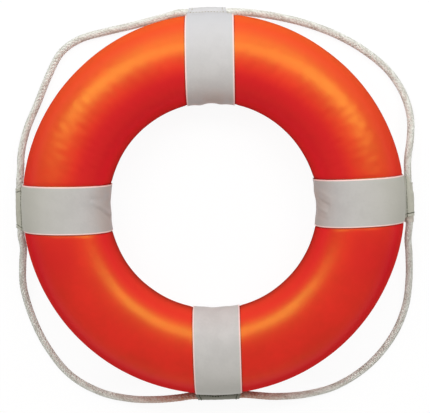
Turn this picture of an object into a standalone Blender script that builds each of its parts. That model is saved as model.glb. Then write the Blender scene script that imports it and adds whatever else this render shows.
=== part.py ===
"""Life ring: a foam ring buoy in an orange vinyl cover, with four white bands and a grab line.

The ring lies on its back on z = 0 with its front face up. +Z is the ring's axis, +Y the top of
the ring as it is hung and seen from the front, and +X its right side. Units are metres, and
angles are degrees, counter-clockwise from +X.
"""

from math import acos, ceil, cos, pi, radians, sin, tau

import bmesh
import bpy
from mathutils import Matrix, Vector

# Foam tube
OUTER_DIAMETER = 0.610
HOLE_DIAMETER = 0.334
TUBE_THICKNESS = 0.114
SECTION_EXPONENT = 2.2

# Facets: an even number of section points that 4 doesn't divide leaves a flat at the front and back
SECTION_POINTS = 22
RING_SEGMENTS = 48

# Clearance between pieces that touch
FIT_GAP = 0.0003

# Cover and bands
COVER_THICKNESS = 0.0012
BAND_THICKNESS = 0.0012
BAND_WIDTH = 0.075
BAND_ANGLE = {"right": 3.1, "top": 91.0, "left": 180.2, "bottom": 271.9}

# Rope sleeves, each a section angle below the outer rim and sewn on a little off the band's middle
SLEEVE_DROP = {"right": 10.0, "top": 21.0, "left": 11.5, "bottom": 9.0}
SLEEVE_SHIFT = {"right": 0.0, "top": 0.0046, "left": 0.0040, "bottom": -0.0017}
SLEEVE_LENGTH = 0.066
SLEEVE_THICKNESS = 0.0010
FLANGE_LENGTH = 0.016
FLANGE_LAYERS = 2

# Grab line: a lead beside each sleeve stays with the ring, and its first stretch is straight
ROPE_DIAMETER = 0.012
LEAD_LENGTH = 0.0405
STRAIGHT_LEAD = 0.012

# Binding over the rope's two ends, which meet in the right sleeve
BINDING_THICKNESS = 0.0010
BINDING_LENGTH = 0.046
BINDING_MIDDLE = -0.019

# Facets of round outlines and of the rope
BORE_POINTS = 16
WALL_POINTS = 14
FLANGE_POINTS = 3
ROPE_BEVEL_RESOLUTION = 3
ROPE_POINT_SPACING = 2 * ROPE_DIAMETER
BALL_ANGLES = (30.0, 60.0, 80.0)

# The four free loops of the grab line, from one sleeve to the next
LOOPS = {
    "top_right": ("right", "top"),
    "top_left": ("top", "left"),
    "bottom_left": ("left", "bottom"),
    "bottom_right": ("bottom", "right"),
}

# Each loop's route: angle, distance of the rope outside the ring's rim, and height of its underside
ROUTE = {
    "top_right": (
        (14.0, 0.0110, 0.0344),
        (19.0, 0.0247, 0.0254),
        (24.0, 0.0378, 0.0148),
        (30.0, 0.0461, 0.0043),
        (37.0, 0.0467, 0.0008),
        (45.0, 0.0393, 0.0006),
        (54.0, 0.0287, 0.0007),
        (63.0, 0.0180, 0.0027),
        (71.0, 0.0096, 0.0115),
        (79.0, 0.0036, 0.0213),
    ),
    "top_left": (
        (104.0, 0.0010, 0.0218),
        (109.0, 0.0025, 0.0163),
        (115.0, 0.0079, 0.0081),
        (122.0, 0.0197, 0.0012),
        (129.0, 0.0347, 0.0008),
        (135.0, 0.0396, 0.0006),
        (142.0, 0.0308, 0.0008),
        (150.0, 0.0215, 0.0016),
        (158.0, 0.0179, 0.0107),
        (165.0, 0.0124, 0.0242),
        (169.5, 0.0066, 0.0321),
    ),
    "bottom_left": (
        (192.5, 0.0072, 0.0318),
        (197.0, 0.0172, 0.0238),
        (203.0, 0.0328, 0.0119),
        (211.0, 0.0471, 0.0014),
        (220.0, 0.0590, 0.0008),
        (230.0, 0.0680, 0.0006),
        (239.0, 0.0630, 0.0010),
        (247.0, 0.0477, 0.0080),
        (254.0, 0.0288, 0.0226),
        (260.0, 0.0136, 0.0345),
    ),
    "bottom_right": (
        (283.0, 0.0122, 0.0349),
        (288.0, 0.0250, 0.0252),
        (296.0, 0.0453, 0.0084),
        (304.0, 0.0600, 0.0009),
        (314.0, 0.0653, 0.0006),
        (324.0, 0.0615, 0.0006),
        (332.0, 0.0511, 0.0013),
        (339.0, 0.0352, 0.0086),
        (346.0, 0.0185, 0.0229),
        (350.5, 0.0094, 0.0322),
    ),
}

# Worked out from the sizes above
RIM_RADIUS = OUTER_DIAMETER / 2
TUBE_RADIUS = (OUTER_DIAMETER + HOLE_DIAMETER) / 4
TUBE_HALF_WIDTH = (OUTER_DIAMETER - HOLE_DIAMETER) / 4
FLAT_ANGLE = 90.0 - 180.0 / SECTION_POINTS
TUBE_HALF_HEIGHT = TUBE_THICKNESS / 2 / sin(radians(FLAT_ANGLE)) ** (2 / SECTION_EXPONENT)
BAND_OUTSIDE = FIT_GAP + BAND_THICKNESS
LAP_OFFSET = BAND_OUTSIDE + FIT_GAP
ROPE_RADIUS = ROPE_DIAMETER / 2
ROPE_BORE = ROPE_RADIUS + FIT_GAP
MOUTH = SLEEVE_LENGTH / 2
PIVOT = MOUTH + LEAD_LENGTH
HELD_END = PIVOT - ROPE_BORE

# Colours from the photograph, as linear RGB
ORANGE = (0.74, 0.055, 0.018)
WHITE = (0.60, 0.58, 0.55)
CREAM = (0.70, 0.62, 0.53)
FOAM = (0.80, 0.78, 0.70)


def signed_power(value, power):
    """The value's size raised to a power, with the value's sign."""
    return abs(value) ** power if value > 0 else -(abs(value) ** power)


def section_point(angle, offset):
    """(radius, height above the tube's middle) of a point this far outside the tube's surface.

    Section angle 0 is the outer rim, 90 the front face and 180 the side of the hole.
    """
    across, up = cos(radians(angle)), sin(radians(angle))
    power = 2 / SECTION_EXPONENT
    normal = Vector(
        (
            signed_power(across, 2 - power) / TUBE_HALF_WIDTH,
            signed_power(up, 2 - power) / TUBE_HALF_HEIGHT,
        )
    ).normalized()
    return (
        TUBE_RADIUS + TUBE_HALF_WIDTH * signed_power(across, power) + offset * normal.x,
        TUBE_HALF_HEIGHT * signed_power(up, power) + offset * normal.y,
    )


# Height of the tube's middle, which stands the bands' undersides on z = 0
MIDDLE_HEIGHT = section_point(FLAT_ANGLE, BAND_OUTSIDE)[1]


def section_arc(first, last, offset):
    """Section corners from one facet number down to another, as (radius, height) on the ring."""
    corners = []
    for number in range(first, last - 1, -1):
        radius, height = section_point(360 * number / SECTION_POINTS, offset)
        corners.append((radius, MIDDLE_HEIGHT + height))
    return corners


def half_arc(front, offset):
    """The front or rear half of the section, in the order of falling angle."""
    half = SECTION_POINTS // 2
    corners = section_arc(half, 0, offset) if front else section_arc(0, -half, offset)
    edge = MIDDLE_HEIGHT + (FIT_GAP if front else -FIT_GAP) / 2
    return [(corners[0][0], edge), *corners[1:-1], (corners[-1][0], edge)]


def section_angle_after(angle, length, step=0.25):
    """The section angle that lies this length further round the band's outside."""
    here = Vector(section_point(angle, LAP_OFFSET))
    while length > 0:
        angle += step
        there = Vector(section_point(angle, LAP_OFFSET))
        length -= (there - here).length
        here = there
    return angle


def make_material(name, colour, roughness):
    """A Principled material with one colour."""
    material = bpy.data.materials.new(name)
    material.use_nodes = True
    shader = material.node_tree.nodes["Principled BSDF"]
    shader.inputs["Base Color"].default_value = (*colour, 1.0)
    shader.inputs["Roughness"].default_value = roughness
    shader.inputs["Metallic"].default_value = 0.0
    material.diffuse_color = (*colour, 1.0)
    return material


def place(name, data, collection, material=None):
    """A new object with this data in a collection."""
    obj = bpy.data.objects.new(name, data)
    collection.objects.link(obj)
    if material:
        data.materials.append(material)
    return obj


def turned_ring(name, outline, collection, material=None):
    """A ring turned from a closed outline of (radius, height) corners."""
    mesh = bpy.data.meshes.new(name)
    edges = [(i, (i + 1) % len(outline)) for i in range(len(outline))]
    mesh.from_pydata([(radius, 0.0, height) for radius, height in outline], edges, [])
    obj = place(name, mesh, collection, material)
    turn = obj.modifiers.new("turn", "SCREW")
    turn.axis = "Z"
    turn.angle = tau
    turn.steps = turn.render_steps = RING_SEGMENTS
    turn.use_smooth_shade = True
    return obj


def as_cutter(obj):
    """Marks an object as a cutter, which isn't a piece of the ring."""
    obj.hide_render = True
    obj.display_type = "WIRE"
    return obj


def cut(obj, operation, cutter):
    """Adds a Boolean of the object with a cutter."""
    boolean = obj.modifiers.new(operation.lower(), "BOOLEAN")
    boolean.operation = operation
    boolean.solver = "EXACT"
    boolean.object = cutter


def make_core(front, collection, material):
    """One of the two foam slabs that are laminated into the core."""
    name = "foam_core_front" if front else "foam_core_rear"
    return turned_ring(name, half_arc(front, -COVER_THICKNESS - FIT_GAP), collection, material)


def make_cover(front, collection, material):
    """One of the two cover shells, which meet at the outer and the inner rim."""
    name = "cover_front" if front else "cover_rear"
    outline = half_arc(front, 0.0) + half_arc(front, -COVER_THICKNESS)[::-1]
    return turned_ring(name, outline, collection, material)


def band_slot(side, cutters):
    """A block as wide as a band, across the tube where that band is wrapped."""
    angle = radians(BAND_ANGLE[side])
    size = (3 * TUBE_HALF_WIDTH, BAND_WIDTH, 2 * TUBE_THICKNESS)
    mesh = bpy.data.meshes.new(f"slot_{side}")
    block = bmesh.new()
    bmesh.ops.create_cube(block, size=1.0, matrix=Matrix.Diagonal((*size, 1.0)))
    block.to_mesh(mesh)
    block.free()
    slot = as_cutter(place(mesh.name, mesh, cutters))
    slot.location = (TUBE_RADIUS * cos(angle), TUBE_RADIUS * sin(angle), MIDDLE_HEIGHT)
    slot.rotation_euler = (0.0, 0.0, angle)
    return slot


def make_bands(collection, cutters, material):
    """Four bands: a skin over the cover, cut off along two parallel edges."""
    seat_outline = section_arc(SECTION_POINTS, 1, FIT_GAP)
    seat = as_cutter(turned_ring("band_seat", seat_outline, cutters))
    for side in BAND_ANGLE:
        outline = section_arc(SECTION_POINTS, 1, BAND_OUTSIDE)
        band = turned_ring(f"band_{side}", outline, collection, material)
        cut(band, "INTERSECT", band_slot(side, cutters))
        cut(band, "DIFFERENCE", seat)


class Sleeve:
    """Where a sleeve holds the rope: the middle of its bore, and the ways out and along."""

    def __init__(self, side):
        angle = radians(BAND_ANGLE[side])
        self.side = side
        self.drop = SLEEVE_DROP[side]
        held = ROPE_BORE
        if side == "right":
            held += BINDING_THICKNESS + FIT_GAP
        self.bore = held / cos(pi / BORE_POINTS)
        self.wall = self.bore + SLEEVE_THICKNESS
        self.radius, self.height = section_point(-self.drop, LAP_OFFSET + self.wall)
        self.along = Vector((-sin(angle), cos(angle), 0.0))
        outward = Vector((cos(angle), sin(angle), 0.0))
        self.middle = outward * self.radius + self.along * SLEEVE_SHIFT[side]
        self.middle.z = MIDDLE_HEIGHT + self.height
        self.turn = (pi / 2, 0.0, angle)

    def point(self, distance):
        """A point of the rope's straight stretch, at a distance along it from the middle."""
        return self.middle + self.along * distance

    def local(self, angle, offset):
        """A section point as (outward, upward) from the rope's centre."""
        radius, height = section_point(angle, offset)
        return (radius - self.radius, height - self.height)

    def outline(self):
        """The cloth's outline, round the rope and up the flange that is sewn to the band."""
        flange = SLEEVE_THICKNESS * FLANGE_LAYERS
        seat = Vector(self.local(-self.drop, LAP_OFFSET))
        seat_way = seat.to_3d().normalized()
        seat_angle = acos(seat_way.x)
        opening = acos(1 - flange / self.wall)
        around = []
        for i in range(WALL_POINTS + 1):
            way = seat_angle + (tau - opening) * i / WALL_POINTS
            around.append((self.wall * cos(way), self.wall * sin(way)))
        start = section_angle_after(-self.drop, self.wall * sin(opening))
        angles = []
        for i in range(1, FLANGE_POINTS + 1):
            angles.append(section_angle_after(start, FLANGE_LENGTH * i / FLANGE_POINTS))
        front = [self.local(angle, LAP_OFFSET + flange) for angle in angles]
        back = [self.local(angle, LAP_OFFSET) for angle in [start, *angles]]
        return around + front + back[::-1]


def round_outline(radius):
    """A circle as a polygon with this radius to its corners."""
    turns = [tau * i / BORE_POINTS for i in range(BORE_POINTS)]
    return [(radius * cos(turn), radius * sin(turn)) for turn in turns]


def extruded(name, loops, length, collection, material):
    """A flat outline, with a hole where it has an inner loop, given a length."""
    curve = bpy.data.curves.new(name, "CURVE")
    curve.dimensions = "2D"
    curve.fill_mode = "BOTH"
    curve.extrude = length / 2
    for loop in loops:
        spline = curve.splines.new("POLY")
        spline.points.add(len(loop) - 1)
        for point, (x, y) in zip(spline.points, loop):
            point.co = (x, y, 0.0, 1.0)
        spline.use_cyclic_u = True
    return place(name, curve, collection, material)


def make_sleeve(sleeve, collection, material):
    """The stitched channel of a band: cloth wrapped round the straight stretch of the rope."""
    loops = [sleeve.outline(), round_outline(sleeve.bore)]
    obj = extruded(f"rope_sleeve_{sleeve.side}", loops, SLEEVE_LENGTH, collection, material)
    obj.location = sleeve.middle
    obj.rotation_euler = sleeve.turn


def make_binding(sleeve, collection, material):
    """The binding over the rope's two ends. It shows just below the right sleeve."""
    bore = ROPE_BORE / cos(pi / BORE_POINTS)
    loops = [round_outline(ROPE_BORE + BINDING_THICKNESS), round_outline(bore)]
    obj = extruded("rope_end_binding", loops, BINDING_LENGTH, collection, material)
    obj.location = sleeve.point(BINDING_MIDDLE)
    obj.rotation_euler = sleeve.turn


def between_knots(knots, share):
    """A point between the middle two of four knots, on a centripetal Catmull-Rom curve."""
    times = [0.0]
    for a, b in zip(knots, knots[1:]):
        times.append(times[-1] + (b - a).length ** 0.5)
    here = times[1] + (times[2] - times[1]) * share
    sides = []
    for i in range(3):
        sides.append(knots[i].lerp(knots[i + 1], (here - times[i]) / (times[i + 1] - times[i])))
    first = sides[0].lerp(sides[1], (here - times[0]) / (times[2] - times[0]))
    second = sides[1].lerp(sides[2], (here - times[1]) / (times[3] - times[1]))
    return first.lerp(second, share)


class LoopPath:
    """The smooth line of the rope's centre, from the middle of one sleeve to that of the next."""

    STEPS = 24

    def __init__(self, loop, sleeves):
        start, end = (sleeves[side] for side in LOOPS[loop])
        knots = [start.point(d) for d in (-MOUTH, 0.0, MOUTH, MOUTH + STRAIGHT_LEAD)]
        for angle, stand_off, underside in ROUTE[loop]:
            radius = RIM_RADIUS + stand_off + ROPE_RADIUS
            way = Vector((cos(radians(angle)), sin(radians(angle)), 0.0))
            knots.append(way * radius + Vector((0.0, 0.0, underside + ROPE_RADIUS)))
        knots += [end.point(-d) for d in (MOUTH + STRAIGHT_LEAD, MOUTH, 0.0, -MOUTH)]
        self.points = [knots[1]]
        for i in range(len(knots) - 3):
            for step in range(1, self.STEPS + 1):
                self.points.append(between_knots(knots[i : i + 4], step / self.STEPS))
        self.distances = [0.0]
        for a, b in zip(self.points, self.points[1:]):
            self.distances.append(self.distances[-1] + (b - a).length)
        self.length = self.distances[-1]

    def at(self, distance):
        """The point this far along the line. A negative distance counts from its end."""
        if distance < 0:
            distance += self.length
        for i, (low, high) in enumerate(zip(self.distances, self.distances[1:])):
            if distance <= high:
                return self.points[i].lerp(self.points[i + 1], (distance - low) / (high - low))
        return self.points[-1]


def spaced(start, end):
    """Even distances from start to end, no further apart than the rope's point spacing."""
    count = ceil((end - start) / ROPE_POINT_SPACING)
    return [start + (end - start) * i / count for i in range(count + 1)]


def rope_tube(name, points, collection, material, radii=None):
    """A rope stretch through these points. The object's origin is the first of them."""
    curve = bpy.data.curves.new(name, "CURVE")
    curve.dimensions = "3D"
    curve.bevel_depth = ROPE_RADIUS
    curve.bevel_resolution = ROPE_BEVEL_RESOLUTION
    curve.use_fill_caps = True
    spline = curve.splines.new("POLY")
    spline.points.add(len(points) - 1)
    radii = radii or [1.0] * len(points)
    for target, point, radius in zip(spline.points, points, radii):
        target.co = (*point, 1.0)
        target.radius = radius
    return place(name, curve, collection, material)


def make_loop(loop, path, collection, material):
    """A free loop between two pivots, with a ball at each pivot for it to swing on."""
    distances = spaced(PIVOT, path.length - PIVOT)
    points = [path.at(distance) for distance in distances]
    pivot = points[0].copy()
    radii = [1.0] * len(points)
    for end, inner in ((0, 1), (-1, -2)):
        centre = points[end].copy()
        outward = (centre - points[inner]).normalized()
        for angle in BALL_ANGLES:
            tip = centre + outward * ROPE_RADIUS * sin(radians(angle))
            where = 0 if end == 0 else len(points)
            points.insert(where, tip)
            radii.insert(where, cos(radians(angle)))
    local = [point - pivot for point in points]
    obj = rope_tube(f"grab_line_{loop}", local, collection, material, radii)
    obj.location = pivot


def make_held_rope(sleeves, paths, collection, material):
    """The rope inside and beside each sleeve. Its two ends meet in the right one."""
    arriving = {LOOPS[loop][1]: path for loop, path in paths.items()}
    leaving = {LOOPS[loop][0]: path for loop, path in paths.items()}
    straight = MOUTH + STRAIGHT_LEAD
    lead_in = spaced(-HELD_END, -straight) + [-MOUTH]
    lead_out = [MOUTH] + spaced(straight, HELD_END)
    stretches = {
        f"grab_line_at_{side}": (side, [*lead_in, 0.0, *lead_out])
        for side in sleeves
        if side != "right"
    }
    stretches["grab_line_end_lower"] = ("right", [*lead_in, BINDING_MIDDLE - FIT_GAP / 2])
    stretches["grab_line_end_upper"] = ("right", [BINDING_MIDDLE + FIT_GAP / 2, *lead_out])
    for name, (side, distances) in stretches.items():
        points = []
        for distance in distances:
            if abs(distance) <= straight:
                points.append(sleeves[side].point(distance))
            else:
                points.append((arriving if distance < 0 else leaving)[side].at(distance))
        middle = sleeves[side].middle
        obj = rope_tube(name, [point - middle for point in points], collection, material)
        obj.location = middle


def new_collection(name):
    """A collection in the scene."""
    collection = bpy.data.collections.new(name)
    bpy.context.scene.collection.children.link(collection)
    return collection


def main():
    """Builds the life ring."""
    for obj in list(bpy.data.objects):
        bpy.data.objects.remove(obj)
    ring = new_collection("life_ring")
    cutters = new_collection("life_ring_cutters")
    vinyl = make_material("orange_vinyl", ORANGE, 0.35)
    fabric = make_material("white_vinyl_fabric", WHITE, 0.45)
    rope = make_material("braided_rope", CREAM, 0.85)
    foam = make_material("closed_cell_foam", FOAM, 0.90)
    for front in (True, False):
        make_core(front, ring, foam)
        make_cover(front, ring, vinyl)
    make_bands(ring, cutters, fabric)
    sleeves = {side: Sleeve(side) for side in BAND_ANGLE}
    for sleeve in sleeves.values():
        make_sleeve(sleeve, ring, fabric)
    make_binding(sleeves["right"], ring, rope)
    paths = {loop: LoopPath(loop, sleeves) for loop in LOOPS}
    for loop, path in paths.items():
        make_loop(loop, path, ring, rope)
    make_held_rope(sleeves, paths, ring, rope)


main()
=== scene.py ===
"""The looks of a life ring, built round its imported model.

The ring lies on its back on z = 0. +Z is its axis, +Y the top of the ring as it hangs, and +X its
right side. Units are metres, and angles are degrees counter-clockwise from +X.
"""

from __future__ import annotations

import logging
import math
from dataclasses import dataclass
from enum import Enum

import bpy
import numpy as np
from mathutils import Matrix, Vector


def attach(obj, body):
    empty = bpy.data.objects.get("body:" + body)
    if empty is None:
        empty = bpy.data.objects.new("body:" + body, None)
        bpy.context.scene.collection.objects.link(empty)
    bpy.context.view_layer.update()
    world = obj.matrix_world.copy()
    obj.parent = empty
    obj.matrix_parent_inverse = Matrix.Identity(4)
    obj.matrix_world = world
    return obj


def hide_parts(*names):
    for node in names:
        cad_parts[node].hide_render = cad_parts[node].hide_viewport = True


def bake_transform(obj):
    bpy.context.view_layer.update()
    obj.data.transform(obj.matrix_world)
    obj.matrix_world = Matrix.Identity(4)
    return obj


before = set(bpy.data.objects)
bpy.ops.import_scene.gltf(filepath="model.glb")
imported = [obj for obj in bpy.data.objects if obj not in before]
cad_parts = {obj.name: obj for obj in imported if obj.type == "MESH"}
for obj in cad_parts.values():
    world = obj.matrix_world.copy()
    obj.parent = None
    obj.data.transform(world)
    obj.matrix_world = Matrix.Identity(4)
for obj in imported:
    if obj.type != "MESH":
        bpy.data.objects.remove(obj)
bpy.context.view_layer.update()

LOG = logging.getLogger("life_ring")
RING = "ring"
TURN = 2 * math.pi

Array = np.ndarray
Material = bpy.types.Material
Obj = bpy.types.Object
Socket = bpy.types.NodeSocket
Colour = tuple[float, float, float]
Knot = tuple[float, float, float]
Span = tuple[float, float]
Waves = tuple[tuple[int, int, float, float], ...]


class Side(Enum):
    """The four places round the ring that carry a band and a rope sleeve."""

    RIGHT = "right"
    TOP = "top"
    LEFT = "left"
    BOTTOM = "bottom"


class Half(Enum):
    """The two halves of the cover and of the foam core."""

    FRONT = "front"
    REAR = "rear"


class Loop(Enum):
    """The four free loops of the grab line."""

    TOP_RIGHT = "top_right"
    TOP_LEFT = "top_left"
    BOTTOM_LEFT = "bottom_left"
    BOTTOM_RIGHT = "bottom_right"


# Graphs of nodes


class Graph:
    """A node tree with short ways to add nodes and join them."""

    def __init__(self, tree: bpy.types.NodeTree) -> None:
        """Wraps a shader or geometry node tree."""
        self.tree = tree

    def add(self, kind: str, inputs: dict | None = None, **settings: object) -> bpy.types.Node:
        """Adds a node.

        Args:
            kind: The node's type name.
            inputs: Input name or number to a value, a node, a socket or a term.
            settings: The node's own properties.

        Returns:
            The new node.
        """
        node = self.tree.nodes.new(kind)
        for name, value in settings.items():
            setattr(node, name, value)
        for key, value in (inputs or {}).items():
            self.feed(node.inputs[key], value)
        return node

    def feed(self, socket: Socket, value: object) -> None:
        """Links a node, socket or term to an input, or sets its value. Colours are opaque."""
        if isinstance(value, Term):
            value = value.socket
        elif isinstance(value, bpy.types.Node):
            value = value.outputs[0]
        if isinstance(value, Socket):
            self.tree.links.new(value, socket)
        else:
            socket.default_value = (*value, 1.0) if socket.type == "RGBA" else value

    def calc(self, operation: str, *values: object) -> Term:
        """The result of a Math node with these values."""
        node = self.add("ShaderNodeMath", dict(enumerate(values)), operation=operation)
        return Term(self, node.outputs[0])

    def vector(self, operation: str, *values: object, **named: object) -> Socket:
        """The vector that a Vector Math node makes of these values."""
        inputs = {**dict(enumerate(values)), **named}
        return self.add("ShaderNodeVectorMath", inputs, operation=operation).outputs[0]

    def axes(self, vector: object) -> list[Term]:
        """The three parts of a vector."""
        node = self.add("ShaderNodeSeparateXYZ", {0: vector})
        return [Term(self, part) for part in node.outputs]

    def fade(self, value: object, low: float, high: float) -> Term:
        """0 below low, 1 above high and smooth between them."""
        inputs = {"Value": value, "From Min": low, "From Max": high}
        node = self.add("ShaderNodeMapRange", inputs, interpolation_type="SMOOTHSTEP")
        return Term(self, node.outputs[0])

    def below(self, value: Term, span: Span) -> Term:
        """1 below a span, 0 above it and smooth in it."""
        return 1 - self.fade(value, *span)


@dataclass(frozen=True, eq=False)
class Term:
    """A number in a graph. Arithmetic on it adds Math nodes."""

    graph: Graph
    socket: Socket

    def __add__(self, other: Term | float) -> Term:
        """The sum."""
        return self.graph.calc("ADD", self, other)

    def __sub__(self, other: Term | float) -> Term:
        """The difference."""
        return self.graph.calc("SUBTRACT", self, other)

    def __rsub__(self, other: float) -> Term:
        """What is left of a plain number."""
        return self.graph.calc("SUBTRACT", other, self)

    def __mul__(self, other: Term | float) -> Term:
        """The product."""
        return self.graph.calc("MULTIPLY", self, other)

    def __truediv__(self, other: Term | float) -> Term:
        """The quotient."""
        return self.graph.calc("DIVIDE", self, other)

    def __mod__(self, other: Term | float) -> Term:
        """The remainder."""
        return self.graph.calc("MODULO", self, other)

    def __abs__(self) -> Term:
        """The size without the sign."""
        return self.graph.calc("ABSOLUTE", self)


@dataclass(frozen=True)
class Patches:
    """Noise with this many blotches in a metre and octaves, faded between two of its values."""

    scale: float
    detail: float
    low: float
    high: float


@dataclass(frozen=True)
class Dents:
    """Relief of noise with this many blotches in a metre, a depth in metres, and octaves."""

    scale: float
    depth: float
    detail: float = 2.0


class Surface(Graph):
    """The shader graph of one material, with its base colour laid on coat by coat."""

    def __init__(self, name: str) -> None:
        """Starts a material of this name with a Principled shader."""
        self.material = bpy.data.materials.new(name)
        self.material.use_nodes = True
        super().__init__(self.material.node_tree)
        self.shader = self.tree.nodes["Principled BSDF"]
        self.place = self.add("ShaderNodeTexCoord").outputs["Object"]
        self.coat: object = None

    def attribute(self, name: str) -> Term:
        """The values of an attribute of the mesh."""
        return Term(self, self.add("ShaderNodeAttribute", attribute_name=name).outputs["Fac"])

    def noise(self, scale: float, detail: float = 2.0) -> Term:
        """Values near 0.5, with this many blotches in a metre and octaves of finer noise."""
        inputs = {"Vector": self.place, "Scale": scale, "Detail": detail}
        return Term(self, self.add("ShaderNodeTexNoise", inputs).outputs[0])

    def patches(self, kind: Patches) -> Term:
        """0 and 1 in soft patches."""
        return self.fade(self.noise(kind.scale, kind.detail), kind.low, kind.high)

    def near(self, value: Term, middle: float, half: float) -> Term:
        """1 within half a width of a middle value, and 0 past a soft margin of that width."""
        return self.below(abs(value - middle), (half, 2 * half))

    def base(self, share: Term, colour: Colour, tones: Span) -> None:
        """Starts the base colour, between a darker and a lighter version of one colour."""
        self.coat = scaled(colour, tones[0])
        self.paint(share, scaled(colour, tones[1]))

    def paint(self, share: Term, colour: Colour) -> None:
        """Lays a colour over the base colour by a share."""
        inputs = {0: share, 6: self.coat, 7: colour}
        self.coat = self.add("ShaderNodeMix", inputs, data_type="RGBA").outputs[2]

    def bump(self, height: object, depth: float, under: object = None) -> Socket:
        """A normal that a height between 0 and 1 bends.

        Args:
            height: The height.
            depth: What a height of 1 stands for, in metres.
            under: The normal that it is added to.

        Returns:
            The bent normal.
        """
        inputs = {"Height": height, "Distance": depth, "Strength": 1.0}
        if under is not None:
            inputs["Normal"] = under
        return self.add("ShaderNodeBump", inputs).outputs[0]

    def dents(self, kind: Dents, under: object = None) -> Socket:
        """A normal that noise bends."""
        return self.bump(self.noise(kind.scale, kind.detail), kind.depth, under)

    def finish(self, **values: object) -> Material:
        """Feeds the shader its colour and these inputs, with underscores for spaces in names."""
        for name, value in {"Base_Color": self.coat, **values}.items():
            self.feed(self.shader.inputs[name.replace("_", " ")], value)
        return self.material


def scaled(colour: Colour, factor: float) -> Colour:
    """A lighter or darker colour."""
    return tuple(channel * factor for channel in colour)


# Finishes


@dataclass(frozen=True)
class Vinyl:
    """Satin vinyl skin, scuffed at the rims, with painted light where it faces towards the lamps,
    painted shade where it faces away, and a dark seam line with painted shade along the rims and
    beside the bands, all by attributes of the mesh.
    """

    colour: Colour = (0.760, 0.007, 0.019)
    tones: Span = (0.94, 1.05)
    blotches: float = 16.0
    specks: float = 90.0
    speckled: float = 0.3
    mottled: Span = (0.45, 0.85)
    scuffed: Colour = (0.80, 0.021, 0.027)
    # A deeper red painted as shade.
    unfaded: Colour = (0.668, 0.005, 0.021)
    # A lighter orange painted as light.
    faded: Colour = (0.81, 0.118, 0.022)
    # Dark red for the seam line, for painted shade along the rims and for the painted contact
    # shadow beside the bands.
    grime: Colour = (0.15, 0.022, 0.018)
    roughness: float = 0.30
    uneven_roughness: float = 0.06
    scuff_roughening: float = 0.22
    # How much gloss is left under the painted shade.
    unfaded_gloss: float = 0.58
    gloss_tint: Colour = (1.0, 0.95, 0.10)
    nap: float = 0.2
    nap_tint: Colour = (1.0, 0.12, 0.02)
    grain: Dents = Dents(1500.0, 0.00003)
    dents: Dents = Dents(22.0, 0.0004, 1.0)

    def material(self) -> Material:
        """The vinyl: faint blotches, scuffed rims, painted light and shade, a fine grain and
        shallow dents.
        """
        surface = Surface("orange_vinyl")
        blotches = surface.noise(self.blotches, 3.0)
        mottle = blotches + surface.noise(self.specks) * self.speckled
        surface.base(surface.fade(mottle, *self.mottled), self.colour, self.tones)
        scuff, unfaded = surface.attribute("scuff"), surface.attribute("unfaded")
        surface.paint(scuff, self.scuffed)
        # Painted shade where the ring faces away from the lamps.
        surface.paint(unfaded, self.unfaded)
        # Painted light where the ring faces up, towards the lamps.
        surface.paint(surface.attribute("faded"), self.faded)
        # A dark seam line, painted shade along the rims and a painted contact shadow beside the
        # bands.
        surface.paint(surface.attribute("crease"), self.grime)
        rough = scuff * self.scuff_roughening + self.roughness
        return surface.finish(
            Roughness=blotches * self.uneven_roughness + rough,
            Normal=surface.dents(self.dents, surface.dents(self.grain)),
            # Less gloss under the painted shade, and none on the scuffed rims.
            Specular_IOR_Level=(1 - scuff) * (unfaded * (self.unfaded_gloss - 1) + 1),
            Specular_Tint=self.gloss_tint,
            Sheen_Weight=self.nap,
            Sheen_Tint=self.nap_tint,
        )


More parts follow.
